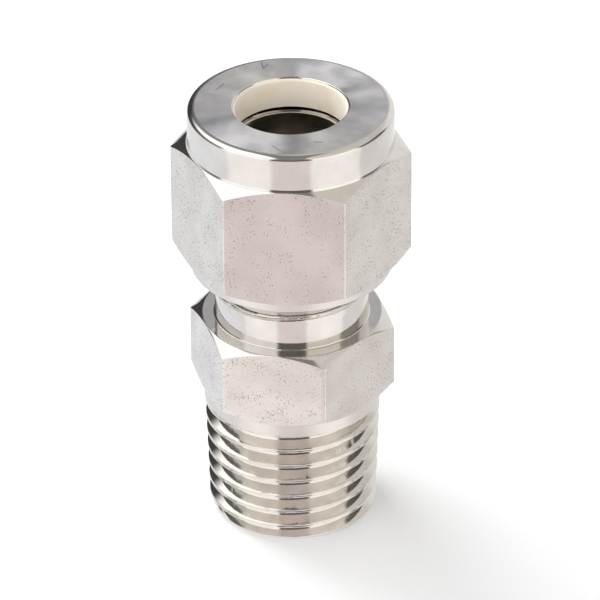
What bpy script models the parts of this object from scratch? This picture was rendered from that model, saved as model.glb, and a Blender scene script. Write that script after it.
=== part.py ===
"""Straight male adapter: a twin ferrule tube fitting with a tapered pipe thread.

Four real pieces: the body (pipe thread, hexagon, neck, nut thread, cone and bore in one
turned piece), the front ferrule, the back ferrule and the nut. The adapter stands on the
end of its pipe thread. +Z runs up the tube axis and the origin is the middle of that end.
The nut sits finger tight, so the threads are in mesh and nothing is squeezed.
"""

import math

import bmesh
import bpy

MM = 0.001

# Tube and bores
TUBE_DIAMETER = 8.0 * MM
SOCKET_CLEARANCE = 0.05 * MM
FERRULE_BORE_CLEARANCE = 0.05 * MM
NUT_BORE_CLEARANCE = 0.25 * MM
TUBE_STOP_WIDTH = 0.85 * MM
SOCKET_DEPTH = 9.2 * MM
BORE_END_CHAMFER = 0.4 * MM

# Tapered pipe thread, 18 turns to the inch, 1 in 16 on the diameter
PIPE_CREST_RADIUS = 6.50 * MM
PIPE_TAPER_ANGLE = 1.78991
PIPE_PITCH = 1.411 * MM
PIPE_THREAD_LENGTH = 9.75 * MM
PIPE_CREST_FLAT = 0.30 * MM
PIPE_ROOT_FLAT = 0.10 * MM
PIPE_START_ANGLE = 337.0
PIPE_END_CHAMFER = 0.42 * MM

# Hexagons, the shank below one of them and the round parts of the nut beside the other
HEX_SIDES = 6
BODY_HEX_FLATS = 14.0 * MM
BODY_HEX_HEIGHT = 6.25 * MM
NUT_HEX_FLATS = 16.0 * MM
NUT_HEX_HEIGHT = 9.87 * MM
NUT_CLOCK_ANGLE = 7.9
HEX_CHAMFER_ANGLE = 33.0
HEX_CHAMFER_INSET = 0.05 * MM
SHANK_INSET = 0.15 * MM
SHANK_LENGTH = 1.10 * MM

# Neck and nut thread, 20 turns to the inch
NECK_INSET = 0.40 * MM
NECK_LENGTH = 2.15 * MM
NECK_FILLET = 0.30 * MM
NECK_SINK = 0.02 * MM
NUT_THREAD_PITCH = 1.27 * MM
NUT_THREAD_LENGTH = 8.95 * MM
NUT_THREAD_GAP = 0.15 * MM
NUT_THREAD_START_ANGLE = 46.0
THREAD_FLANK_ANGLE = 30.0

# Mouth of the body and ferrules
SEAT_ANGLE = 20.0
MOUTH_CONE_INSET = 0.10 * MM
MOUTH_LAND = 0.45 * MM
MOUTH_WALL = 1.25 * MM
SEAT_GAP = 0.30 * MM
FERRULE_WALL = 1.15 * MM
FERRULE_EDGE_CHAMFER = 0.15 * MM
FRONT_TIP_WALL = 0.20 * MM
FRONT_LAND = 1.09 * MM
FRONT_REAR_FACE = 0.10 * MM
BACK_TIP_WALL = 0.15 * MM
BACK_NOSE_INSET = 0.10 * MM
BACK_FLANGE_THICKNESS = 1.40 * MM
BEVEL_ANGLE = 45.0
SHOULDER_ANGLE = 15.0

# Nut
NUT_BAND_INSET = 0.22 * MM
NUT_BAND_HEIGHT = 0.83 * MM
COLLAR_INSET = 0.02 * MM
COLLAR_HEIGHT = 3.05 * MM
COLLAR_TAPER = 0.08 * MM
COLLAR_CHAMFER_WIDTH = 0.45 * MM
COLLAR_CHAMFER_HEIGHT = 0.35 * MM
NUT_BORE_LENGTH = 2.50 * MM
NUT_RIM_CHAMFER = 0.18 * MM
NUT_EDGE_CHAMFER = 0.15 * MM
NUT_CAVITY_CLEARANCE = 0.30 * MM
NUT_CAVITY_LENGTH = 1.60 * MM
NUT_RELIEF_DEPTH = 0.10 * MM
NUT_RELIEF_LENGTH = 0.90 * MM
NUT_MOUTH_CHAMFER = 0.40 * MM
NUT_MOUTH_LAND = 0.35 * MM

# Fineness of the round faces
TURN_STEPS = 40
CHAMFER_STEPS = 72
FILLET_STEPS = 3
OVERRUN = 1.0 * MM

seat_slope = math.tan(math.radians(SEAT_ANGLE))
bevel_slope = math.tan(math.radians(BEVEL_ANGLE))
flank_slope = math.tan(math.radians(THREAD_FLANK_ANGLE))
shoulder_slope = math.tan(math.radians(SHOULDER_ANGLE))
chamfer_slope = math.tan(math.radians(HEX_CHAMFER_ANGLE))
taper_slope = math.tan(math.radians(PIPE_TAPER_ANGLE))

# Heights along the body
shank_start = PIPE_THREAD_LENGTH
hex_start = shank_start + SHANK_LENGTH
hex_end = hex_start + BODY_HEX_HEIGHT
nut_thread_start = hex_end + NECK_LENGTH
mouth = nut_thread_start + NUT_THREAD_LENGTH
tube_stop = mouth - SOCKET_DEPTH

# Radii, which follow the tube outward
tube_radius = TUBE_DIAMETER / 2
socket_radius = tube_radius + SOCKET_CLEARANCE
through_radius = socket_radius - TUBE_STOP_WIDTH
ferrule_bore = tube_radius + FERRULE_BORE_CLEARANCE
ferrule_radius = ferrule_bore + FERRULE_WALL
nut_bore = tube_radius + NUT_BORE_CLEARANCE
mouth_cone_radius = ferrule_radius - MOUTH_CONE_INSET
nut_thread_radius = mouth_cone_radius + MOUTH_WALL
neck_radius = nut_thread_radius - NECK_INSET

# The front ferrule lies in the cone, the back ferrule in the front one, the nut on the back
front_tip_radius = ferrule_bore + FRONT_TIP_WALL
front_cone = (ferrule_radius - front_tip_radius) / seat_slope
front_length = front_cone + FRONT_LAND
seat_gap_across = SEAT_GAP / math.cos(math.radians(SEAT_ANGLE))
front_tip = mouth - (mouth_cone_radius - front_tip_radius - seat_gap_across) / seat_slope
front_rear = front_tip + front_length
bevel_width = FERRULE_WALL - FERRULE_EDGE_CHAMFER - FRONT_REAR_FACE
bevel_depth = bevel_width / bevel_slope
bevel_gap = SEAT_GAP / math.sin(math.radians(BEVEL_ANGLE))
back_tip = front_rear - bevel_depth + BACK_TIP_WALL / bevel_slope + bevel_gap
nose_width = FERRULE_WALL - BACK_TIP_WALL - BACK_NOSE_INSET
nose_length = nose_width / bevel_slope
back_length = nose_length + BACK_FLANGE_THICKNESS
back_rear = back_tip + back_length
shoulder_gap = SEAT_GAP / math.cos(math.radians(SHOULDER_ANGLE))

# Heights and radii in the nut, heights from its lower face
nut_length = NUT_BAND_HEIGHT + NUT_HEX_HEIGHT + COLLAR_HEIGHT
nut_band_radius = NUT_HEX_FLATS / 2 - NUT_BAND_INSET
collar_radius = NUT_HEX_FLATS / 2 - COLLAR_INSET
nut_shoulder = nut_length - NUT_BORE_LENGTH
nut_base = back_rear + shoulder_gap - nut_shoulder
cavity_radius = ferrule_radius + NUT_CAVITY_CLEARANCE
cavity_top = nut_shoulder - (cavity_radius - nut_bore) * shoulder_slope
cavity_bottom = cavity_top - NUT_CAVITY_LENGTH
cut_crest = nut_thread_radius + NUT_THREAD_GAP
relief_radius = cut_crest + NUT_RELIEF_DEPTH
relief_top = cavity_bottom - (relief_radius - cavity_radius)
relief_bottom = relief_top - NUT_RELIEF_LENGTH


def clear_scene():
    """Remove whatever the open file holds."""
    for existing in list(bpy.data.objects):
        bpy.data.objects.remove(existing, do_unlink=True)


def steel(name, shade, roughness):
    """A bare metal finish: shade is the linear base colour."""
    finish = bpy.data.materials.new(name)
    finish.use_nodes = True
    surface = finish.node_tree.nodes["Principled BSDF"]
    surface.inputs["Base Color"].default_value = (*shade, 1.0)
    surface.inputs["Metallic"].default_value = 1.0
    surface.inputs["Roughness"].default_value = roughness
    return finish


def add_object(name, bm, finish=None):
    """Turn a bmesh into an object; without a finish it is a hidden tool for a Boolean."""
    bmesh.ops.recalc_face_normals(bm, faces=bm.faces)
    mesh = bpy.data.meshes.new(name)
    bm.to_mesh(mesh)
    bm.free()
    mesh.shade_smooth()
    mesh.set_sharp_from_angle(angle=math.radians(25))
    obj = bpy.data.objects.new(name, mesh)
    bpy.context.scene.collection.objects.link(obj)
    if finish:
        mesh.materials.append(finish)
    else:
        obj.hide_render = True
        obj.display_type = "WIRE"
    return obj


def combine(obj, tool, operation):
    """Add a live Boolean with the exact solver."""
    modifier = obj.modifiers.new(tool.name, "BOOLEAN")
    modifier.operation = operation
    modifier.solver = "EXACT"
    modifier.object = tool


def corner_radius(flats):
    """Distance from the axis to the corners of a hexagon with this size across its flats."""
    return flats / 2 / math.cos(math.pi / HEX_SIDES)


def hexagon(name, flats, bottom, top, clocking, finish=None):
    """A hexagonal prism whose flats face +Y and -Y before it is clocked."""
    bm = bmesh.new()
    corner = corner_radius(flats)
    rim = []
    for side in range(HEX_SIDES):
        angle = 2 * math.pi * side / HEX_SIDES + math.radians(clocking)
        rim.append(bm.verts.new((corner * math.cos(angle), corner * math.sin(angle), bottom)))
    base = bm.faces.new(rim)
    grown = bmesh.ops.extrude_face_region(bm, geom=[base])
    raised = [item for item in grown["geom"] if isinstance(item, bmesh.types.BMVert)]
    bmesh.ops.translate(bm, verts=raised, vec=(0, 0, top - bottom))
    return add_object(name, bm, finish)


def ring_turning(name, outline, finish):
    """Spin a closed outline of (radius, height) points round the axis."""
    bm = bmesh.new()
    points = [bm.verts.new((radius, 0, height)) for radius, height in outline]
    edges = [bm.edges.new((points[i - 1], points[i])) for i in range(len(points))]
    bmesh.ops.spin(bm, geom=points + edges, cent=(0, 0, 0), axis=(0, 0, 1),
                   angle=2 * math.pi, steps=TURN_STEPS, use_merge=True)
    bmesh.ops.remove_doubles(bm, verts=bm.verts, dist=0.00001 * MM)
    return add_object(name, bm, finish)


class Thread:
    """One screw thread: four edges to a turn, which climb with the angle."""

    def __init__(self, pitch, crest_flat, root_flat, crest, root, start):
        flank = (pitch - crest_flat - root_flat) / 2
        self.pitch = pitch
        self.start = start
        self.offsets = [0.0, crest_flat, crest_flat + flank, crest_flat + flank + root_flat]
        self.radii = [crest, crest, root, root]

    def edge(self, row, turn):
        """Height and radius rule of edge number row after this share of a turn."""
        whole, part = divmod(row, 4)
        height = self.start + (whole + turn) * self.pitch + self.offsets[part]
        return height, self.radii[part](height)

    def radius_at(self, height, turn):
        """Radius where the thread crosses a level plane."""
        row = 4 * math.floor((height - self.start) / self.pitch - turn)
        lower = self.edge(row, turn)
        for step in range(1, 5):
            upper = self.edge(row + step, turn)
            if upper[0] >= height:
                share = (height - lower[0]) / (upper[0] - lower[0])
                return lower[1] + share * (upper[1] - lower[1])
            lower = upper
        return lower[1]


def lathe(name, stations, steps, finish=None):
    """A solid turned about the axis, from the lowest station to the highest.

    A station is a ring (height, radius) or (thread, low, high, limit): a stretch of screw
    thread between two heights, no larger anywhere than the radius that limit(height) gives.
    """
    bm = bmesh.new()

    def level_ring(height, radius_rule):
        ring = []
        for column in range(steps):
            angle = 2 * math.pi * column / steps
            radius = radius_rule(column / steps)
            ring.append(bm.verts.new((radius * math.cos(angle), radius * math.sin(angle), height)))
        return ring

    def bridge(lower, upper):
        for column in range(steps):
            after = (column + 1) % steps
            bm.faces.new((lower[column], lower[after], upper[after], upper[column]))

    def threaded(thread, low, high, limit, previous):
        snap = 0.07 * thread.pitch
        bottom = level_ring(low, lambda turn: min(thread.radius_at(low, turn), limit(low)))
        top = level_ring(high, lambda turn: min(thread.radius_at(high, turn), limit(high)))
        if previous:
            bridge(previous, bottom)
        made = {}

        def corner(row, column):
            if column == steps:
                row, column = row + 4, 0
            height, radius = thread.edge(row, column / steps)
            if height < low + snap:
                return bottom[column]
            if height > high - snap:
                return top[column]
            if (row, column) not in made:
                angle = 2 * math.pi * column / steps
                radius = min(radius, limit(height))
                place = (radius * math.cos(angle), radius * math.sin(angle), height)
                made[row, column] = bm.verts.new(place)
            return made[row, column]

        first = 4 * math.floor((low - thread.start) / thread.pitch - 2)
        last = 4 * math.ceil((high - thread.start) / thread.pitch + 2)
        for row in range(first, last):
            for column in range(steps):
                loop = [corner(row, column), corner(row, column + 1),
                        corner(row + 1, column + 1), corner(row + 1, column)]
                around = [vert for i, vert in enumerate(loop) if vert is not loop[i - 1]]
                if len(set(around)) > 2:
                    bm.faces.new(around)
        return bottom, top

    first_ring = None
    previous = None
    for station in stations:
        if isinstance(station[0], Thread):
            bottom, previous_top = threaded(*station, previous)
            first_ring = first_ring or bottom
            previous = previous_top
        else:
            height, radius = station
            ring = level_ring(height, lambda turn: radius)
            if previous:
                bridge(previous, ring)
            first_ring = first_ring or ring
            previous = ring
    bm.faces.new(reversed(first_ring))
    bm.faces.new(previous)
    return add_object(name, bm, finish)


def chamfer_lens(name, low, high, low_radius, high_radius, reach):
    """A double cone that takes the corners off a hexagon between low and high."""
    low_edge = low + (reach - low_radius) * chamfer_slope
    high_edge = high - (reach - high_radius) * chamfer_slope
    stations = [(low, low_radius), (low_edge, reach), (high_edge, reach), (high, high_radius)]
    return lathe(name, stations, CHAMFER_STEPS)


def nut_thread(gap, base):
    """The thread between body and nut; gap widens it to cut the nut, base is that piece's foot."""
    depth = (NUT_THREAD_PITCH * 5 / 8) / 2 / flank_slope
    crest = nut_thread_radius + gap
    crest_flat = NUT_THREAD_PITCH / 8 + 2 * gap * flank_slope
    root_flat = NUT_THREAD_PITCH / 4 - 2 * gap * flank_slope
    start = nut_thread_start - base - crest_flat / 2
    start -= NUT_THREAD_START_ANGLE / 360 * NUT_THREAD_PITCH

    def swell(height):
        return min(1.0, max(0.0, (height + base - nut_thread_start) / NUT_THREAD_PITCH))

    def crest_rule(height):
        return crest if gap else neck_radius + (crest - neck_radius) * swell(height)

    def root_rule(height):
        root = crest - depth
        return root if gap else neck_radius + (root - neck_radius) * swell(height)

    return Thread(NUT_THREAD_PITCH, crest_flat, root_flat, crest_rule, root_rule, start)


def pipe_thread():
    """The tapered pipe thread, measured up from the end face."""
    depth = (PIPE_PITCH - PIPE_CREST_FLAT - PIPE_ROOT_FLAT) / 2 / flank_slope

    def crest_rule(height):
        return PIPE_CREST_RADIUS + height * taper_slope

    def root_rule(height):
        return crest_rule(height) - depth

    start = -PIPE_START_ANGLE / 360 * PIPE_PITCH
    return Thread(PIPE_PITCH, PIPE_CREST_FLAT, PIPE_ROOT_FLAT, crest_rule, root_rule, start)


def make_body():
    """Body: a hexagon with a threaded spigot on each side and the stepped bore through it."""
    body = hexagon("body", BODY_HEX_FLATS, hex_start - OVERRUN, hex_end + OVERRUN, 0.0,
                   steel("turned_steel", (0.60, 0.58, 0.55), 0.22))
    facing = BODY_HEX_FLATS / 2 - HEX_CHAMFER_INSET
    reach = corner_radius(BODY_HEX_FLATS) + OVERRUN
    combine(body, chamfer_lens("body_hex_chamfers", hex_start, hex_end, facing, facing, reach),
            "INTERSECT")
    inside = (hex_start + hex_end) / 2

    def end_chamfer(height):
        return PIPE_CREST_RADIUS - PIPE_END_CHAMFER + height

    shank_radius = BODY_HEX_FLATS / 2 - SHANK_INSET
    spigot = [(pipe_thread(), 0.0, shank_start, end_chamfer),
              (shank_start, shank_radius), (inside, shank_radius)]
    combine(body, lathe("pipe_spigot", spigot, TURN_STEPS), "UNION")

    def lead_chamfer(height):
        return mouth_cone_radius + MOUTH_LAND + mouth - height

    neck = [(inside, neck_radius + NECK_FILLET)]
    for step in range(FILLET_STEPS + 1):
        angle = math.pi / 2 * step / FILLET_STEPS
        neck.append((hex_end - NECK_SINK + NECK_FILLET * (1 - math.cos(angle)),
                     neck_radius + NECK_FILLET * (1 - math.sin(angle))))
    neck.append((nut_thread(0.0, 0.0), nut_thread_start, mouth, lead_chamfer))
    combine(body, lathe("tube_spigot", neck, TURN_STEPS), "UNION")

    bore = [(-OVERRUN, through_radius + BORE_END_CHAMFER + OVERRUN),
            (BORE_END_CHAMFER, through_radius), (tube_stop, through_radius),
            (tube_stop, socket_radius),
            (mouth - (mouth_cone_radius - socket_radius) / seat_slope, socket_radius),
            (mouth + OVERRUN, mouth_cone_radius + OVERRUN * seat_slope)]
    combine(body, lathe("body_bore", bore, TURN_STEPS), "DIFFERENCE")
    return body


def make_front_ferrule():
    """Front ferrule: a cone outside that drops into the body, a bevel inside at its rear."""
    edge = FERRULE_EDGE_CHAMFER
    outline = [(ferrule_bore, 0.0), (front_tip_radius, 0.0), (ferrule_radius, front_cone),
               (ferrule_radius, front_length - edge), (ferrule_radius - edge, front_length),
               (ferrule_bore + bevel_width, front_length),
               (ferrule_bore, front_length - bevel_depth)]
    ferrule = ring_turning("front_ferrule", outline, steel("ferrule_steel", (0.62, 0.60, 0.57), 0.25))
    ferrule.location.z = front_tip
    return ferrule


def make_back_ferrule():
    """Back ferrule: a nose that wedges into the front one and a flange that the nut pushes."""
    nose_start = ferrule_bore + BACK_TIP_WALL
    rim_rear = back_length - FERRULE_WALL * shoulder_slope
    outline = [(ferrule_bore, 0.0), (nose_start, 0.0), (nose_start + nose_width, nose_length),
               (ferrule_radius, nose_length), (ferrule_radius, rim_rear),
               (ferrule_bore, back_length)]
    ferrule = ring_turning("back_ferrule", outline, steel("hard_ferrule_steel", (0.58, 0.56, 0.53), 0.3))
    ferrule.location.z = back_tip
    return ferrule


def make_nut():
    """Nut: a hexagon with a round collar above, a plain band below and the thread inside."""
    hex_low = NUT_BAND_HEIGHT
    hex_high = NUT_BAND_HEIGHT + NUT_HEX_HEIGHT
    facing = NUT_HEX_FLATS / 2 - HEX_CHAMFER_INSET
    buried = OVERRUN / 2
    nut = hexagon("nut", NUT_HEX_FLATS, hex_low - OVERRUN, hex_high + OVERRUN, NUT_CLOCK_ANGLE,
                  steel("nut_steel", (0.58, 0.57, 0.55), 0.24))
    lens = chamfer_lens("nut_hex_chamfers", hex_low, hex_high + buried * chamfer_slope, facing,
                        facing - buried, corner_radius(NUT_HEX_FLATS) + OVERRUN)
    combine(nut, lens, "INTERSECT")

    inside = (hex_low + hex_high) / 2
    turning = [(0.0, nut_band_radius - NUT_EDGE_CHAMFER), (NUT_EDGE_CHAMFER, nut_band_radius),
               (inside, nut_band_radius), (inside + OVERRUN, collar_radius),
               (nut_length - COLLAR_CHAMFER_HEIGHT, collar_radius - COLLAR_TAPER),
               (nut_length, collar_radius - COLLAR_TAPER - COLLAR_CHAMFER_WIDTH)]
    combine(nut, lathe("collar_and_band", turning, TURN_STEPS), "UNION")

    thread_low = NUT_MOUTH_CHAMFER + NUT_MOUTH_LAND
    bore = [(-OVERRUN, cut_crest + NUT_MOUTH_CHAMFER + OVERRUN), (NUT_MOUTH_CHAMFER, cut_crest),
            (nut_thread(NUT_THREAD_GAP, nut_base), thread_low, relief_bottom,
             lambda height: cut_crest),
            (relief_bottom, relief_radius), (relief_top, relief_radius),
            (cavity_bottom, cavity_radius), (cavity_top, cavity_radius),
            (nut_shoulder, nut_bore), (nut_length - NUT_RIM_CHAMFER, nut_bore),
            (nut_length + OVERRUN, nut_bore + NUT_RIM_CHAMFER + OVERRUN)]
    combine(nut, lathe("nut_bore", bore, TURN_STEPS), "DIFFERENCE")
    for tool in (modifier.object for modifier in nut.modifiers):
        tool.parent = nut
    nut.location.z = nut_base
    return nut


clear_scene()
make_body()
make_front_ferrule()
make_back_ferrule()
make_nut()
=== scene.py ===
import math

import bmesh
import bpy
from mathutils import Matrix, Vector, noise


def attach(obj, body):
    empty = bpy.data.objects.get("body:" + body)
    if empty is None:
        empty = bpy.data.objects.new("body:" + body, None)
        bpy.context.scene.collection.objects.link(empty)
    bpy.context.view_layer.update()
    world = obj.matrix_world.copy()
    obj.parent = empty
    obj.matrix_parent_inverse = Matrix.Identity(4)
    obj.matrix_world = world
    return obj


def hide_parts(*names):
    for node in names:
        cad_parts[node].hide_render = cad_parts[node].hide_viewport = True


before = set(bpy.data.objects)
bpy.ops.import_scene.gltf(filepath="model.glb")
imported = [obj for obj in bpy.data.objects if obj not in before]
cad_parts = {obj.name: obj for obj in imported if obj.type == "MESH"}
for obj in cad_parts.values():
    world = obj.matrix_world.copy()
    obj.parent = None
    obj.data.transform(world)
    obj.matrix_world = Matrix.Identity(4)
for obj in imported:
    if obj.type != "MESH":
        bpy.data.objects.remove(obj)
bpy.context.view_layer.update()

# Lengths below are in millimetres, as on a drawing. Meshes are scaled to metres when made.
mm = 0.001
print("frame loaded")


# Shared helpers

def linear(hexColour):  # sRGB hex to the linear colour that a shader takes
    channels = [int(hexColour[i:i + 2], 16) / 255 for i in (1, 3, 5)]
    return tuple(c / 12.92 if c <= 0.04045 else ((c + 0.055) / 1.055) ** 2.4 for c in channels) + (1.0,)


def addNode(tree, kind, feeds=None, **settings):  # one node with its settings, values and links
    node = tree.nodes.new("ShaderNode" + kind)
    for name, value in settings.items():
        setattr(node, name, value)
    for socket, source in (feeds or {}).items():
        if isinstance(source, bpy.types.NodeSocket):
            tree.links.new(source, node.inputs[socket])
        else:
            node.inputs[socket].default_value = source
    return node


def setRamp(node, stops):  # stops are (position, hex colour or grey level)
    ramp = node.color_ramp
    while len(ramp.elements) > 1:
        ramp.elements.remove(ramp.elements[0])
    for index, (position, colour) in enumerate(stops):
        element = ramp.elements[0] if index == 0 else ramp.elements.new(position)
        element.position = position
        element.color = linear(colour) if isinstance(colour, str) else (colour, colour, colour, 1)
    return node


def newMaterial(name):
    material = bpy.data.materials.new(name)
    material.use_nodes = True
    tree = material.node_tree
    return material, tree, tree.nodes["Principled BSDF"]


# Shape helpers: a turned part is a set of columns round the axis, each with the same outline

def hexColumns(hexagon, perSide, cornerSteps):  # (angle, distance to the hexagon) of each column
    apothem = hexagon["flats"] / 2
    corner = apothem / math.cos(math.pi / 6)
    rounding = hexagon["cornerRadius"]
    centre = corner - rounding / math.cos(math.pi / 6)
    columns = []
    for side in range(6):
        turn = math.radians(hexagon["clocking"] + 60 * side)
        for step in range(cornerSteps + 1):
            lean = math.radians(-30 + 60 * step / cornerSteps)
            x = centre + rounding * math.cos(lean)
            y = rounding * math.sin(lean)
            columns.append((turn + math.atan2(y, x), math.hypot(x, y)))
        start = columns[-1][0]
        finish = turn + math.radians(60) - (start - turn)
        for step in range(1, perSide):
            angle = start + (finish - start) * step / perSide
            columns.append((angle, apothem / math.cos(angle - turn - math.radians(30))))
    return columns


cornerShare = 0.45   # a rounding takes at most this share of each run beside it
cutMargin = 0.6      # keeps the last cut of a run clear of the next corner


def soften(outline):  # rounds each corner and cuts long runs; points are (r, z, set back, finish, cuts)
    made = []
    last = len(outline) - 1
    for index, (r, z, setBack, finish, cuts) in enumerate(outline):
        here = Vector((r, z))
        if setBack and 0 < index < last:
            before = Vector(outline[index - 1][:2]) - here
            after = Vector(outline[index + 1][:2]) - here
            reach = min(setBack, cornerShare * before.length, cornerShare * after.length)
            entry = here + before.normalized() * reach
            leave = here + after.normalized() * reach
            for share in (0.0, 0.5, 1.0):
                point = entry * (1 - share) ** 2 + here * 2 * share * (1 - share) + leave * share ** 2
                made.append((point.x, point.y, finish))
        else:
            made.append((r, z, finish))
        if cuts > 1 and index < last:
            first = Vector(made[-1][:2])
            target = Vector(outline[index + 1][:2])
            for cut in range(1, cuts):
                point = first.lerp(target, cut / (cuts + cutMargin))
                made.append((point.x, point.y, finish))
    return made


def threadRadius(thread, height, row):  # radius of one edge of the thread at this height
    return thread["crest"](height) - thread["share"][row % len(thread["share"])] * thread["depth"](height)


def threadEdge(thread, row, turn):
    whole, part = divmod(row, len(thread["offset"]))
    height = thread["start"] + (whole + turn) * thread["pitch"] + thread["offset"][part]
    return height, threadRadius(thread, height, part)


def threadLevel(thread, height, turn):  # radius where the thread crosses a level plane
    count = len(thread["offset"])
    row = count * math.floor((height - thread["start"]) / thread["pitch"] - turn)
    lower = threadEdge(thread, row, turn)
    for step in range(1, count + 1):
        upper = threadEdge(thread, row + step, turn)
        if upper[0] >= height:
            share = (height - lower[0]) / max(upper[0] - lower[0], 1e-9)
            return lower[1] + share * (upper[1] - lower[1])
        lower = upper
    return lower[1]


def place(angle, r, z):
    return Vector((r * math.cos(angle), r * math.sin(angle), z))


burrs = {
    "crestShare": 0.015,   # rows this near the crest carry burrs
    "aroundScale": 5, "alongScale": 9, "lift": 0.8,
}


def threadRows(bm, thread, columns, finishes):
    low, high, limit = thread["low"], thread["high"], thread["limit"]
    count = len(columns)
    ends = []
    for height in (low, high):
        ring = []
        for angle, _ in columns:
            turn = angle / (2 * math.pi)
            radius = min(threadLevel(thread, height, turn), limit(height))
            ring.append(bm.verts.new(place(angle, radius, height)))
        ends.append(ring)
    bottom, top = ends
    made = {}
    snap = thread["snap"]

    def part(row):
        return row % len(thread["offset"])

    def corner(row, column):
        if column == count:
            row, column = row + len(thread["offset"]), 0
        angle = columns[column][0]
        height, radius = threadEdge(thread, row, angle / (2 * math.pi))
        if part(row) == thread.get("cutRow"):
            # Where the end chamfer cuts a flank, the flank's lower edge slides up to the chamfer
            height += max(radius - limit(height), 0) / (1 + 1 / flank)
            radius = min(radius, limit(height))
        if height < low + snap:
            return bottom[column]
        if height > high - snap:
            return top[column]
        if (row, column) not in made:
            point = place(angle, min(radius, limit(height)), height)
            if thread["burr"] and thread["share"][part(row)] < burrs["crestShare"]:
                spot = Vector((point.x * burrs["aroundScale"], point.y * burrs["aroundScale"],
                               height * burrs["alongScale"] + row))
                tremble = noise.noise(spot)
                point = place(angle, min(radius, limit(height)) - thread["burr"] * max(tremble, 0.0),
                              height + burrs["lift"] * thread["burr"] * tremble)
            made[row, column] = bm.verts.new(point)
        return made[row, column]

    rows = len(thread["offset"])
    first = rows * math.floor((low - thread["start"]) / thread["pitch"] - 2)
    last = rows * math.ceil((high - thread["start"]) / thread["pitch"] + 2)
    for row in range(first, last):
        for column in range(count):
            loop = [corner(row, column), corner(row, column + 1),
                    corner(row + 1, column + 1), corner(row + 1, column)]
            around = [vert for i, vert in enumerate(loop) if vert is not loop[i - 1]]
            if len(set(around)) > 2:
                face = bm.faces.new(around)
                face.material_index = finishes.index(thread["finish"])
    return bottom, top


def bridge(bm, lower, upper, finish):
    count = len(lower)
    for column in range(count):
        after = (column + 1) % count
        face = bm.faces.new((lower[column], lower[after], upper[after], upper[column]))
        face.material_index = finish


def turnPart(name, columns, sections, finishes, sharpAngle=26):
    # A closed part: the sections run up the outside and down the bore, and meet at their ends
    bm = bmesh.new()
    firstRing = None
    previous = None
    lastFinish = 0
    for section in sections:
        if isinstance(section, dict):
            reverse = section.get("downward", False)
            bottom, top = threadRows(bm, section, columns, finishes)
            entry, leave = (top, bottom) if reverse else (bottom, top)
            if previous:
                bridge(bm, previous, entry, lastFinish)
            firstRing = firstRing or entry
            previous = leave
            lastFinish = finishes.index(section["finish"])
        else:
            outlines = [soften(section(angle, reach)) for angle, reach in columns]
            for index in range(len(outlines[0])):
                ring = [bm.verts.new(place(columns[c][0], outlines[c][index][0], outlines[c][index][1]))
                        for c in range(len(columns))]
                if previous:
                    bridge(bm, previous, ring, lastFinish)
                firstRing = firstRing or ring
                previous = ring
                lastFinish = finishes.index(outlines[0][index][2])
    bridge(bm, previous, firstRing, lastFinish)
    bmesh.ops.recalc_face_normals(bm, faces=bm.faces)
    for vert in bm.verts:
        vert.co *= mm
    mesh = bpy.data.meshes.new(name)
    bm.to_mesh(mesh)
    bm.free()
    mesh.shade_smooth()
    mesh.set_sharp_from_angle(angle=math.radians(sharpAngle))
    part = bpy.data.objects.new(name, mesh)
    bpy.context.scene.collection.objects.link(part)
    for finish in finishes:
        mesh.materials.append(materials[finish])
    return part


# Finishes

materials = {}

satin = {
    "light": "#DCD7D1", "dark": "#D2CCC6", "pit": "#918983",
    "grain": 0.12,        # mm, the orange peel of drawn and tumbled bar
    "pitSpacing": 0.19,   # mm between the pits left by tumbling, drawn a little coarse so that they show
    "pitWidth": 0.46, "roughness": 0.20,
}
bright = {"light": "#DBD7D2", "dark": "#D3CFCA", "line": 0.05, "relief": 0.12,
          "roughness": 0.07, "smear": 0.0}
shoulder = {"light": "#DDD9D4", "dark": "#D6D2CC", "line": 0.06, "relief": 0.15,
            "roughness": 0.30, "smear": 0.0}
threaded = {"light": "#DAD6CF", "dark": "#CFCBC3", "line": 0.06, "relief": 0.15,
            "roughness": 0.08, "smear": 0.0}
faced = {"light": "#EAE8E7", "dark": "#D2D0D1", "line": 0.05, "relief": 0.05,
         "roughness": 0.38, "smear": 0.92,
         "wave": 0.70,         # mm, drawn much deeper than real so that its sectors show
         "shadedScratch": "#A4A4A8",    # painted shade: the scratches are drawn darker than the face
         "scratches": [((-3.59, 6.14), (-3.26, 5.29)), ((-3.26, 5.29), (-3.05, 6.00)),
                       ((-0.08, -6.24), (1.04, -7.07)), ((2.9, -5.1), (3.5, -5.0)),
                       ((-6.1, 1.2), (-5.7, 2.3))]}
ringed = {"light": "#D3CEC6", "dark": "#BDB7AE", "line": 0.04, "relief": 0.25,
          "roughness": 0.2, "smear": 0.0}


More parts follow.
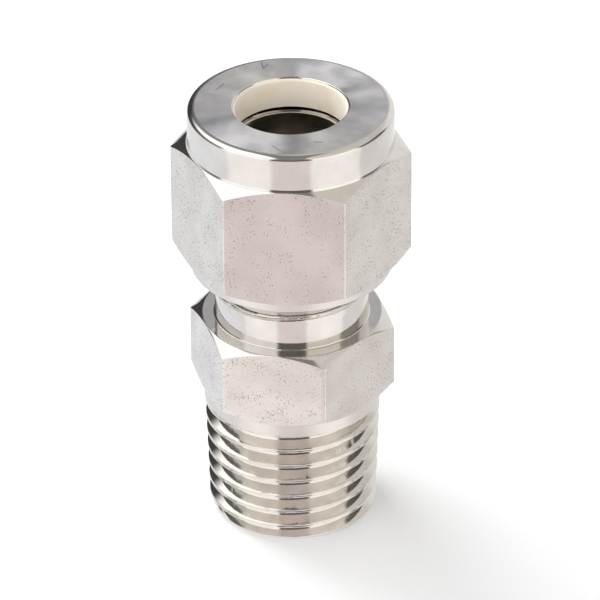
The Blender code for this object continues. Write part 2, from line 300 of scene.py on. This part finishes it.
def satinSteel(name, look):
    # Stainless bar stock, drawn and tumbled: even soft reflections broken by fine pits
    material, tree, shader = newMaterial(name)
    where = addNode(tree, "TexCoord").outputs["Object"]
    ragged = addNode(tree, "TexNoise", {"Vector": where, "Scale": 1 / (0.15 * mm), "Detail": 2})
    shift = addNode(tree, "VectorMath", {0: ragged.outputs["Color"], "Scale": 0.12 * mm}, operation="SCALE")
    wavy = addNode(tree, "VectorMath", {0: where, 1: shift.outputs[0]}, operation="ADD")
    cloud = addNode(tree, "TexNoise", {"Vector": where, "Scale": 1 / (3 * mm), "Detail": 3})
    peel = addNode(tree, "TexNoise", {"Vector": where, "Scale": 1 / (look["grain"] * mm), "Detail": 3})
    pits = addNode(tree, "TexVoronoi", {"Vector": wavy.outputs[0], "Scale": 1 / (look["pitSpacing"] * mm)})
    crowd = addNode(tree, "TexNoise", {"Vector": where, "Scale": 1 / (1.4 * mm), "Detail": 3})
    luck = addNode(tree, "MapRange", {"Value": pits.outputs["Color"], "To Min": -0.23, "To Max": 0.23})
    chance = addNode(tree, "Math", {0: crowd.outputs["Fac"], 1: luck.outputs[0]}, operation="ADD")
    pitReach = addNode(tree, "MapRange", {"Value": chance.outputs[0], "From Min": 0.33, "From Max": 0.64,
                                          "To Min": 0.02, "To Max": look["pitWidth"]})
    pitDepth = addNode(tree, "MapRange", {"Value": pits.outputs["Distance"], "From Min": 0.0,
                                          "From Max": pitReach.outputs[0], "To Min": 1.0, "To Max": 0.0})
    shade = setRamp(addNode(tree, "ValToRGB", {"Fac": cloud.outputs["Fac"]}),
                    [(0.35, look["dark"]), (0.6, look["light"])])
    colour = addNode(tree, "Mix", {0: pitDepth.outputs[0], 6: shade.outputs["Color"], 7: linear(look["pit"])},
                     data_type="RGBA")
    gloss = addNode(tree, "MapRange", {"Value": peel.outputs["Fac"], "To Min": look["roughness"] - 0.04,
                                       "To Max": look["roughness"] + 0.06})
    relief = addNode(tree, "MapRange", {"Value": pitDepth.outputs[0], "To Min": 0.0, "To Max": -5.0})
    surface = addNode(tree, "Math", {0: peel.outputs["Fac"], 1: relief.outputs[0]}, operation="ADD")
    bump = addNode(tree, "Bump", {"Height": surface.outputs[0], "Strength": 0.5, "Distance": 0.01 * mm})
    tree.links.new(colour.outputs[2], shader.inputs["Base Color"])
    tree.links.new(gloss.outputs[0], shader.inputs["Roughness"])
    tree.links.new(bump.outputs[0], shader.inputs["Normal"])
    shader.inputs["Metallic"].default_value = 1.0
    materials[name] = material


def scratch(tree, where, start, finish):  # 1 along a line between two points on the end, 0 beside it
    origin = Vector((*start, 0)) * mm
    along = Vector((*finish, 0)) * mm - origin
    reach = addNode(tree, "VectorMath", {0: where, 1: origin}, operation="SUBTRACT")
    dot = addNode(tree, "VectorMath", {0: reach.outputs[0], 1: along / along.length_squared},
                  operation="DOT_PRODUCT")
    share = addNode(tree, "Clamp", {0: dot.outputs["Value"]})
    nearest = addNode(tree, "VectorMath", {0: along, "Scale": share.outputs[0]}, operation="SCALE")
    gap = addNode(tree, "VectorMath", {0: reach.outputs[0], 1: nearest.outputs[0]}, operation="DISTANCE")
    fade = addNode(tree, "MapRange", {"Value": gap.outputs["Value"], "From Min": 0.02 * mm,
                                      "From Max": 0.08 * mm, "To Min": 1.0, "To Max": 0.0})
    return fade.outputs[0]


def latheSteel(name, look):
    # Stainless steel off the lathe: bright, with fine rings of tool marks round the axis
    material, tree, shader = newMaterial(name)
    where = addNode(tree, "TexCoord").outputs["Object"]
    parts = addNode(tree, "SeparateXYZ", {0: where})
    level = addNode(tree, "CombineXYZ", {0: parts.outputs[0], 1: parts.outputs[1]})
    radius = addNode(tree, "VectorMath", {0: level.outputs[0]}, operation="LENGTH")
    rings = addNode(tree, "CombineXYZ", {0: radius.outputs["Value"], 1: parts.outputs[2]})
    lines = addNode(tree, "TexNoise", {"Vector": rings.outputs[0], "Scale": 1 / (look["line"] * 2 * mm),
                                       "Detail": 2, "Roughness": 0.6})
    cloud = addNode(tree, "TexNoise", {"Vector": where, "Scale": 1 / (2.2 * mm), "Detail": 3})
    shade = setRamp(addNode(tree, "ValToRGB", {"Fac": cloud.outputs["Fac"]}),
                    [(0.35, look["dark"]), (0.6, look["light"])])
    gloss = addNode(tree, "MapRange", {"Value": cloud.outputs["Fac"], "To Min": look["roughness"] * 0.8,
                                       "To Max": look["roughness"] * 1.3})
    bump = addNode(tree, "Bump", {"Height": lines.outputs["Fac"], "Strength": look["relief"],
                                  "Distance": 0.003 * mm})
    if look.get("wave"):
        # The clamped part gave way in turns, so the end is wavy from sector to sector
        outward = addNode(tree, "VectorMath", {0: level.outputs[0]}, operation="NORMALIZE")
        sectors = addNode(tree, "TexNoise", {"Vector": outward.outputs[0], "Scale": 1.25, "Detail": 1})
        bump = addNode(tree, "Bump", {"Height": sectors.outputs["Fac"], "Distance": look["wave"] * mm,
                                      "Normal": bump.outputs[0]})
    colour = shade.outputs[0]
    # Painted shade: each scratch is drawn darker than the face, and a shallow bump presses it in
    for start, finish in look.get("scratches", []):
        shadedScratch = scratch(tree, level.outputs[0], start, finish)
        colour = addNode(tree, "Mix", {0: shadedScratch, 6: colour, 7: linear(look["shadedScratch"])},
                         data_type="RGBA").outputs[2]
        bump = addNode(tree, "Bump", {"Height": shadedScratch, "Distance": -0.01 * mm, "Normal": bump.outputs[0]})
    tree.links.new(colour, shader.inputs["Base Color"])
    tree.links.new(gloss.outputs[0], shader.inputs["Roughness"])
    tree.links.new(bump.outputs[0], shader.inputs["Normal"])
    shader.inputs["Metallic"].default_value = 1.0
    if look["smear"]:
        # The tool marks stretch each reflection across themselves, which gives a faced end its bright spokes
        shader.inputs["Anisotropic"].default_value = look["smear"]
        shader.inputs["Anisotropic Rotation"].default_value = 0.25
        tangent = addNode(tree, "Tangent", direction_type="RADIAL", axis="Z")
        tree.links.new(tangent.outputs[0], shader.inputs["Tangent"])
    materials[name] = material


plating = {"light": "#FFF9EE", "dark": "#FDF1DD", "metal": 0.06, "roughness": 0.42}


def silverPlate(name, look):
    # Silver plate left matte from the bath: creamy and nearly without reflections
    material, tree, shader = newMaterial(name)
    where = addNode(tree, "TexCoord").outputs["Object"]
    cloud = addNode(tree, "TexNoise", {"Vector": where, "Scale": 1 / (1.5 * mm), "Detail": 3})
    grain = addNode(tree, "TexNoise", {"Vector": where, "Scale": 1 / (0.05 * mm), "Detail": 2})
    shade = setRamp(addNode(tree, "ValToRGB", {"Fac": cloud.outputs["Fac"]}),
                    [(0.35, look["dark"]), (0.6, look["light"])])
    bump = addNode(tree, "Bump", {"Height": grain.outputs["Fac"], "Strength": 0.2, "Distance": 0.004 * mm})
    tree.links.new(shade.outputs[0], shader.inputs["Base Color"])
    tree.links.new(bump.outputs[0], shader.inputs["Normal"])
    shader.inputs["Metallic"].default_value = look["metal"]
    shader.inputs["Roughness"].default_value = look["roughness"]
    materials[name] = material


satinSteel("tumbledStainlessBar", satin)
latheSteel("turnedStainless", bright)
latheSteel("softTurnedStainless", shoulder)
latheSteel("cutThreadStainless", threaded)
latheSteel("facedStainless", faced)
latheSteel("machinedFerruleStainless", ringed)
silverPlate("silverPlatedBore", plating)
print("finishes made")


# Body

slope = math.tan(math.radians(33))   # slope of the chamfers on both hexagons
flank = math.tan(math.radians(30))   # both threads have 60 degree flanks

body = {
    "flats": 14.0, "clocking": 0.0, "cornerRadius": 0.17,
    "hexLow": 10.85, "hexHigh": 17.10, "facing": 6.95,
    "shankStart": 9.75, "shankRadius": 6.85,
    "neckRadius": 5.95, "neckFillet": 0.10, "neckEnd": 19.25,
    "mouth": 28.20, "coneRadius": 5.10, "mouthLand": 0.45, "coneSlope": math.tan(math.radians(20)),
    "socketRadius": 4.05, "socketFloor": 19.0, "throughRadius": 3.2, "endChamfer": 0.4,
}

pipe = {
    "pitch": 1.411, "start": -337 / 360 * 1.411, "low": 0.0, "high": 9.75, "snap": 0.012, "burr": 0.022,
    "cutRow": 5,   # the row at the crest's upper edge, which the end chamfer cuts
    "finish": "cutThreadStainless",
    "offset": [0.015, 0.08, 0.14, 0.20, 0.265, 0.295, 0.7296, 0.885, 0.9184, 1.396],
    "share": [0.0, 0.0, 0.035, 0.0, 0.0, 0.0198, 0.88, 0.968, 0.975, 0.0297],
    "crest": lambda height: 6.50 + height / 32,
    "depth": lambda height: 0.875,
    "limit": lambda height: 6.08 + height,
}


nutPitch = 1.27


def swell(height):  # the nut thread grows out of the neck over its first turn
    return min(1.0, max(0.0, (height - body["neckEnd"]) / nutPitch))


nutThread = {
    "pitch": nutPitch, "start": body["neckEnd"] - 0.079 - 46 / 360 * nutPitch,
    "low": body["neckEnd"], "high": body["mouth"], "snap": 0.012, "burr": 0.004,
    "finish": "turnedStainless",
    "offset": [0.0, 0.025, 0.135, 0.16, 0.28, 0.43, 0.52, 0.80, 0.89],
    "share": [0.04, 0.0, 0.0, 0.04, 0.36, 0.84, 1.0, 1.0, 0.84],
    "crest": lambda height: body["neckRadius"] + 0.40 * swell(height),
    "depth": lambda height: 0.687 * swell(height),
    "limit": lambda height: 5.55 + body["mouth"] - height,
}


def bodyHexagon(angle, reach):
    b = body
    rise = (reach - b["facing"]) * slope
    f = b["neckFillet"]
    foot = b["hexHigh"]
    return [
        (b["shankRadius"] - 0.05, b["shankStart"], 0, "turnedStainless", 1),
        (b["shankRadius"], b["shankStart"] + 0.05, 0, "softTurnedStainless", 1),
        (b["shankRadius"], b["hexLow"], 0, "turnedStainless", 1),
        (b["facing"], b["hexLow"], 0.02, "turnedStainless", 1),
        (reach, b["hexLow"] + rise, 0.05, "tumbledStainlessBar", 10),
        (reach, b["hexHigh"] - rise, 0.05, "turnedStainless", 1),
        (b["facing"], foot, 0.04, "turnedStainless", 1),
        (b["facing"] - 0.08, foot, 0, "turnedStainless", 1),
        (b["neckRadius"] + f + 0.05, foot, 0, "turnedStainless", 1),
        (b["neckRadius"] + f, foot, 0, "turnedStainless", 1),
        (b["neckRadius"] + f * 0.62, foot + f * 0.07, 0, "turnedStainless", 1),
        (b["neckRadius"] + f * 0.29, foot + f * 0.29, 0, "turnedStainless", 1),
        (b["neckRadius"] + f * 0.07, foot + f * 0.62, 0, "turnedStainless", 1),
        (b["neckRadius"], foot + f, 0, "turnedStainless", 1),
        (b["neckRadius"], foot + f + 0.04, 0, "turnedStainless", 1),
        (b["neckRadius"], b["neckEnd"] - 0.28, 0, "turnedStainless", 1),
    ]


def bodyBore(angle, reach):
    b = body
    coneFoot = b["mouth"] - (b["coneRadius"] - b["socketRadius"]) / b["coneSlope"]
    return [
        (b["coneRadius"] + b["mouthLand"] - 0.05, b["mouth"], 0, "turnedStainless", 1),
        (b["coneRadius"], b["mouth"], 0.04, "turnedStainless", 1),
        (b["socketRadius"], coneFoot, 0.05, "turnedStainless", 1),
        (b["socketRadius"], b["socketFloor"], 0, "turnedStainless", 1),
        (b["throughRadius"], b["socketFloor"], 0.06, "turnedStainless", 1),
        (b["throughRadius"], b["endChamfer"], 0.05, "turnedStainless", 1),
        (b["throughRadius"] + b["endChamfer"], 0.0, 0, "turnedStainless", 1),
    ]


bodyColumns = hexColumns(body, 32, 6)
bodyFinishes = ["turnedStainless", "tumbledStainlessBar", "cutThreadStainless", "softTurnedStainless"]
bodyPart = turnPart("steelBody", bodyColumns, [pipe, bodyHexagon, nutThread, bodyBore], bodyFinishes)
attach(bodyPart, "body")
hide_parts("body")
print("body made")


# Nut

nut = {
    "flats": 16.0, "clocking": 7.9, "cornerRadius": 0.19, "base": 21.4767,
    "bandRadius": 7.78, "bandHeight": 0.83, "hexHeight": 9.87, "facing": 7.95,
    "collarFoot": 7.99, "collarRadius": 7.91, "collarTop": 7.90, "edgeWidth": 0.58, "edgeHeight": 0.38,
    "faceFall": 0.05,   # the faced end falls a little towards the rim
    "length": 13.75, "boreRadius": 4.25, "rimRadius": 4.50, "lip": 0.13, "shoulder": 11.25,
    "shoulderSlope": math.tan(math.radians(15)), "cavityRadius": 5.50, "cavityLength": 1.60,
    "threadCrest": 6.50, "reliefRadius": 6.60, "reliefLength": 0.90,
    "mouthChamfer": 0.40, "mouthLand": 0.35,
}
cavityTop = nut["shoulder"] - (nut["cavityRadius"] - nut["boreRadius"]) * nut["shoulderSlope"]
cavityFoot = cavityTop - nut["cavityLength"]
reliefTop = cavityFoot - (nut["reliefRadius"] - nut["cavityRadius"])
reliefFoot = reliefTop - nut["reliefLength"]

innerThread = {
    "pitch": nutPitch, "start": nutThread["start"] + 0.0795 - (0.159 + 0.3 * flank) / 2,
    "low": nut["base"] + 0.75, "high": nut["base"] + reliefFoot, "snap": 0.012, "burr": 0.0,
    "finish": "turnedStainless", "downward": True,
    "offset": [0.0, 0.159 + 0.3 * flank, 0.60 + 0.15 * flank, 0.79 + 0.15 * flank],
    "share": [0.0, 0.0, 1.0, 1.0],
    "crest": lambda height: nut["threadCrest"],
    "depth": lambda height: 0.687,
    "limit": lambda height: nut["threadCrest"],
}


def roundEdge(radius, height, width, fall):  # the broken edge of the collar, from its side to its end
    steps = [math.radians(90 * step / 7) for step in range(8)]
    return [(radius - width * (1 - math.cos(lean)), height - fall * (1 - math.sin(lean)), 0,
             "facedStainless" if step == 7 else "turnedStainless", 1) for step, lean in enumerate(steps)]


def lipRows(radius, height, size):  # the rounded lip between the faced end and the plated bore
    leans = [math.radians(22.5 * step) for step in range(5)]
    return [(radius - size * math.sin(lean), height - size * (1 - math.cos(lean)), 0,
             "silverPlatedBore" if step == 4 else "turnedStainless", 1) for step, lean in enumerate(leans)]


def nutOutside(angle, reach):
    n = nut
    base = n["base"]
    rise = (reach - n["facing"]) * slope
    hexLow = base + n["bandHeight"]
    hexHigh = hexLow + n["hexHeight"]
    top = base + n["length"]
    return [
        (n["threadCrest"] + n["mouthChamfer"], base, 0, "turnedStainless", 1),
        (n["bandRadius"] - 0.15, base, 0.04, "turnedStainless", 1),
        (n["bandRadius"], base + 0.15, 0.05, "softTurnedStainless", 1),
        (n["bandRadius"], hexLow, 0, "turnedStainless", 1),
        (n["facing"], hexLow, 0.02, "turnedStainless", 1),
        (reach, hexLow + rise, 0.05, "tumbledStainlessBar", 14),
        (reach, hexHigh - rise, 0.05, "turnedStainless", 1),
        (n["collarFoot"] - 0.02, hexHigh - 0.01, 0, "turnedStainless", 1),
        (n["collarFoot"], hexHigh + 0.02, 0.01, "turnedStainless", 1),
        (n["collarRadius"], hexHigh + 0.18, 0.03, "turnedStainless", 3),
        *roundEdge(n["collarTop"], top - n["faceFall"], n["edgeWidth"], n["edgeHeight"]),
        *lipRows(n["rimRadius"], top, n["lip"]),
        (n["boreRadius"] + 0.02, top - 0.24, 0, "silverPlatedBore", 1),
        (n["boreRadius"], top - 0.29, 0, "silverPlatedBore", 1),
        (n["boreRadius"], base + n["shoulder"], 0, "turnedStainless", 1),
        (n["cavityRadius"], base + cavityTop, 0.1, "turnedStainless", 1),
        (n["cavityRadius"], base + cavityFoot, 0, "turnedStainless", 1),
        (n["reliefRadius"], base + reliefTop, 0.05, "turnedStainless", 1),
        (n["reliefRadius"], base + reliefFoot + 0.02, 0, "turnedStainless", 1),
    ]


def nutMouth(angle, reach):
    return [
        (nut["threadCrest"], nut["base"] + nut["mouthChamfer"] + 0.02, 0, "turnedStainless", 1),
        (nut["threadCrest"] + 0.02, nut["base"] + nut["mouthChamfer"] - 0.02, 0, "turnedStainless", 1),
    ]


nutColumns = hexColumns(nut, 32, 6)
nutFinishes = ["turnedStainless", "tumbledStainlessBar", "silverPlatedBore", "facedStainless",
               "softTurnedStainless"]
nutPart = turnPart("unionNut", nutColumns, [nutOutside, innerThread, nutMouth], nutFinishes)
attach(nutPart, "nut")
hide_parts("nut")
print("nut made")


# Ferrules

ferrules = {
    "bore": 4.05, "radius": 5.20, "edge": 0.15, "slope": math.tan(math.radians(20)),
    "frontTip": 26.7418, "frontTipWall": 0.20, "frontLength": 3.70, "bevel": 0.90,
    "backTip": 30.1162, "backTipWall": 0.15, "nose": 0.90, "backLength": 2.30,
    "rearSlope": math.tan(math.radians(15)), "columns": 144,
}


def frontFerrule(angle, reach):
    f = ferrules
    low, high = f["frontTip"], f["frontTip"] + f["frontLength"]
    full = low + (f["radius"] - f["bore"] - f["frontTipWall"]) / f["slope"]
    return [
        (f["bore"], low + 0.01, 0, "machinedFerruleStainless", 1),
        (f["bore"] + 0.01, low, 0, "machinedFerruleStainless", 1),
        (f["bore"] + f["frontTipWall"], low, 0.03, "machinedFerruleStainless", 1),
        (f["radius"], full, 0.1, "machinedFerruleStainless", 1),
        (f["radius"], high - f["edge"], 0.03, "machinedFerruleStainless", 1),
        (f["radius"] - f["edge"], high, 0.03, "machinedFerruleStainless", 1),
        (f["bore"] + f["bevel"], high, 0.03, "machinedFerruleStainless", 1),
        (f["bore"], high - f["bevel"], 0, "machinedFerruleStainless", 1),
    ]


def backFerrule(angle, reach):
    f = ferrules
    low, high = f["backTip"], f["backTip"] + f["backLength"]
    tip = f["bore"] + f["backTipWall"]
    return [
        (f["bore"], low + 0.01, 0, "machinedFerruleStainless", 1),
        (f["bore"] + 0.01, low, 0, "machinedFerruleStainless", 1),
        (tip, low, 0.03, "machinedFerruleStainless", 1),
        (tip + f["nose"], low + f["nose"], 0, "machinedFerruleStainless", 1),
        (f["radius"], low + f["nose"], 0.03, "machinedFerruleStainless", 1),
        (f["radius"], high - (f["radius"] - f["bore"]) * f["rearSlope"], 0.08, "machinedFerruleStainless", 1),
        (f["bore"] + 0.34, high, 0, "turnedStainless", 1),
        (f["bore"] + 0.23, high - 0.04, 0, "turnedStainless", 1),
        (f["bore"] + 0.22, high - 0.10, 0, "turnedStainless", 1),
        (f["bore"] + 0.14, high - 0.10, 0, "turnedStainless", 1),
        (f["bore"] + 0.13, high - 0.06, 0, "turnedStainless", 1),
        (f["bore"] + 0.01, high - 0.105, 0, "turnedStainless", 1),
        (f["bore"], high - 0.13, 0, "machinedFerruleStainless", 1),
        (f["bore"], high - 0.17, 0, "machinedFerruleStainless", 1),
    ]


roundColumns = [(2 * math.pi * i / ferrules["columns"], 1) for i in range(ferrules["columns"])]
for name, outline, node in (("frontFerrule", frontFerrule, "front_ferrule"),
                            ("backFerrule", backFerrule, "back_ferrule")):
    ring = turnPart(name, roundColumns, [outline], ["machinedFerruleStainless", "turnedStainless"])
    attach(ring, "ferrules")
    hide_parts(node)
print("ferrules made")


# Floor, light and camera

photo = {
    "azimuth": 11.86, "elevation": 31.337, "roll": -0.339, "distance": 468.559,
    "aimRight": 0.628, "aimHeight": 17.964, "focalPixels": 6069.521, "framePixels": 600, "sensor": 36.0,
}

turn = math.radians(photo["azimuth"])
rise = math.radians(photo["elevation"])
rightward = Vector((math.cos(turn), math.sin(turn), 0))
backward = Vector((math.cos(rise) * math.sin(turn), -math.cos(rise) * math.cos(turn), math.sin(rise)))
upward = backward.cross(rightward)
aim = rightward * photo["aimRight"] + Vector((0, 0, photo["aimHeight"]))
cameraData = bpy.data.cameras.new("photoCamera")
cameraData.sensor_width = photo["sensor"]
cameraData.lens = photo["focalPixels"] / photo["framePixels"] * photo["sensor"]
cameraData.clip_start = 0.01
camera = bpy.data.objects.new("photoCamera", cameraData)
bpy.context.scene.collection.objects.link(camera)
axes = Matrix((rightward, upward, backward)).transposed().to_4x4()
camera.matrix_world = (Matrix.Translation((aim + backward * photo["distance"]) * mm) @ axes
                       @ Matrix.Rotation(math.radians(photo["roll"]), 4, "Z"))
bpy.context.scene.camera = camera

floorSize = 2000 * mm
floorMesh = bpy.data.meshes.new("floor")
floorMesh.from_pydata([(-floorSize, -floorSize, 0), (floorSize, -floorSize, 0),
                       (floorSize, floorSize, 0), (-floorSize, floorSize, 0)], [], [(0, 1, 2, 3)])
floor = bpy.data.objects.new("floor", floorMesh)
bpy.context.scene.collection.objects.link(floor)

# White paper sweep: the camera sees it white with the soft shadow, and metal sees the studio beyond
floorMaterial, tree, shader = newMaterial("whitePaperSweep")
shader.inputs["Base Color"].default_value = linear("#E9EAEC")
shader.inputs["Roughness"].default_value = 0.8
path = addNode(tree, "LightPath")
glow = addNode(tree, "Emission", {"Color": linear("#FFFFFF"), "Strength": 0.15})
seen = addNode(tree, "AddShader", {0: shader.outputs[0], 1: glow.outputs[0]})
forCamera = addNode(tree, "MixShader", {0: path.outputs["Is Camera Ray"], 1: shader.outputs[0],
                                        2: seen.outputs[0]})
clear = addNode(tree, "BsdfTransparent")
forMetal = addNode(tree, "MixShader", {0: path.outputs["Is Glossy Ray"], 1: forCamera.outputs[0],
                                       2: clear.outputs[0]})
tree.links.new(forMetal.outputs[0], tree.nodes["Material Output"].inputs["Surface"])
floorMesh.materials.append(floorMaterial)

# Studio: rings of light and dark panels round the object, each by azimuth from the camera's side
studio = {
    "low": [(-180, (1.00, 1.00, 1.03)), (-150, (0.98, 1.01, 1.07)), (-76, (1.02, 1.02, 1.06)),
            (-71, (1.22, 1.20, 1.21)),
            (-50, (1.30, 1.27, 1.27)), (-24, (1.22, 1.19, 1.20)), (-19, (0.97, 0.88, 0.90)),
            (19, (0.94, 0.87, 0.88)),
            (24, (1.20, 1.17, 1.16)), (55, (1.30, 1.27, 1.26)), (79, (1.16, 1.14, 1.14)),
            (84, (0.91, 0.89, 0.90)),
            (130, (0.93, 0.92, 0.92)), (180, (1.00, 1.00, 1.03))],
    "middle": [(-180, (0.50, 0.50, 0.53)), (-175, (0.22, 0.22, 0.25)), (-165, (0.05, 0.05, 0.05)),
               (-125, (0.10, 0.10, 0.10)), (-108, (0.22, 0.22, 0.22)), (-80, (0.28, 0.28, 0.28)),
               (-74, (1.45, 1.44, 1.44)), (-24, (1.40, 1.38, 1.36)),
               (-20, (0.16, 0.15, 0.14)), (20, (0.16, 0.15, 0.14)), (24, (1.40, 1.37, 1.31)),
               (74, (1.40, 1.37, 1.31)), (80, (0.24, 0.23, 0.22)), (116, (0.14, 0.14, 0.14)),
               (126, (0.95, 0.94, 0.92)), (162, (1.05, 1.05, 1.05)), (172, (0.60, 0.60, 0.62)),
               (180, (0.52, 0.52, 0.55))],
    "high": [(-180, (0.62, 0.62, 0.64)), (-174, (0.34, 0.34, 0.36)), (-158, (0.36, 0.36, 0.38)),
             (-148, (1.60, 1.60, 1.60)),
             (-60, (1.60, 1.60, 1.60)), (-24, (1.30, 1.30, 1.30)), (-18, (0.30, 0.29, 0.28)),
             (18, (0.30, 0.29, 0.28)), (24, (1.00, 0.98, 0.93)), (90, (0.80, 0.77, 0.72)),
             (140, (0.75, 0.73, 0.69)), (165, (0.74, 0.73, 0.71)), (180, (0.62, 0.62, 0.64))],
    "top": [(-180, (0.9, 0.9, 0.9)), (-100, (1.70, 1.70, 1.70)), (-36, (1.65, 1.65, 1.65)),
            (-30, (0.30, 0.29, 0.28)),
            (30, (0.30, 0.29, 0.28)), (36, (0.80, 0.77, 0.71)), (110, (0.75, 0.72, 0.68)),
            (180, (0.6, 0.6, 0.6))],
    "brightest": 2.0,
    # The high panels on the left hang lower than those on the right
    "drop": [(-180, 0.0), (-150, 0.03), (-72, 0.03), (-45, 0.0), (180, 0.0)],
    "lowToMiddle": (-0.11, -0.01), "middleToHigh": (0.44, 0.64), "highToTop": (0.84, 0.90),
}


def studioRing(tree, share, stops):
    peak = studio["brightest"]
    ramp = addNode(tree, "ValToRGB", {"Fac": share})
    setRamp(ramp, [((azimuth + 180) / 360, 0) for azimuth, _ in stops])
    for element, (_, glow) in zip(ramp.color_ramp.elements, stops):
        element.color = (glow[0] / peak, glow[1] / peak, glow[2] / peak, 1)
    return addNode(tree, "VectorMath", {0: ramp.outputs[0], "Scale": peak}, operation="SCALE").outputs[0]


def blendRings(tree, height, band, lower, upper):
    fade = addNode(tree, "MapRange", {"Value": height, "From Min": band[0], "From Max": band[1]},
                   interpolation_type="SMOOTHSTEP")
    return addNode(tree, "Mix", {0: fade.outputs[0], 6: lower, 7: upper}, data_type="RGBA").outputs[2]


world = bpy.data.worlds.new("studio")
bpy.context.scene.world = world
world.use_nodes = True
tree = world.node_tree
direction = addNode(tree, "TexCoord").outputs["Generated"]
facing = addNode(tree, "VectorRotate", {"Vector": direction, "Angle": -turn}, rotation_type="Z_AXIS")
parts = addNode(tree, "SeparateXYZ", {0: facing.outputs[0]})
towards = addNode(tree, "Math", {0: parts.outputs[1], 1: -1.0}, operation="MULTIPLY")
around = addNode(tree, "Math", {0: parts.outputs[0], 1: towards.outputs[0]}, operation="ARCTAN2")
share = addNode(tree, "MapRange", {"Value": around.outputs[0], "From Min": -math.pi,
                                   "From Max": math.pi}).outputs[0]
# Overhead the rings would meet in a point, so the top is laid out from left to right instead
across = addNode(tree, "MapRange", {"Value": parts.outputs[0], "From Min": -1.0,
                                    "From Max": 1.0}).outputs[0]
height = parts.outputs[2]
drop = setRamp(addNode(tree, "ValToRGB", {"Fac": share}),
               [((azimuth + 180) / 360, amount) for azimuth, amount in studio["drop"]])
lifted = addNode(tree, "Math", {0: height, 1: drop.outputs[0]}, operation="ADD").outputs[0]
glow = blendRings(tree, height, studio["lowToMiddle"], studioRing(tree, share, studio["low"]),
                  studioRing(tree, share, studio["middle"]))
glow = blendRings(tree, lifted, studio["middleToHigh"], glow, studioRing(tree, share, studio["high"]))
glow = blendRings(tree, height, studio["highToTop"], glow, studioRing(tree, across, studio["top"]))
path = addNode(tree, "LightPath")
shown = addNode(tree, "Mix", {0: path.outputs["Is Camera Ray"], 6: glow, 7: linear("#FFFFFF")},
                data_type="RGBA")
tree.links.new(shown.outputs[2], tree.nodes["Background"].inputs["Color"])

lamp = {"watts": 0.36, "size": 130, "place": (-120, 95, 190)}
fill = {"watts": 0.045, "size": 110, "place": (-25, -120, 190)}


def areaLamp(name, look):  # aims at the foot of the object, and the metal doesn't mirror it
    data = bpy.data.lights.new(name, "AREA")
    data.energy = look["watts"]
    data.size = look["size"] * mm
    light = bpy.data.objects.new(name, data)
    bpy.context.scene.collection.objects.link(light)
    light.location = Vector(look["place"]) * mm
    light.rotation_euler = (-light.location).to_track_quat("-Z", "Y").to_euler()
    light.visible_glossy = False


# A soft lamp behind on the left lays the shadow to the front right
areaLamp("softLamp", lamp)
# A weak fill from the front reaches down the plated bore
areaLamp("fillLamp", fill)

scene = bpy.context.scene
scene.view_settings.view_transform = "Standard"
print("floor, light and camera made")
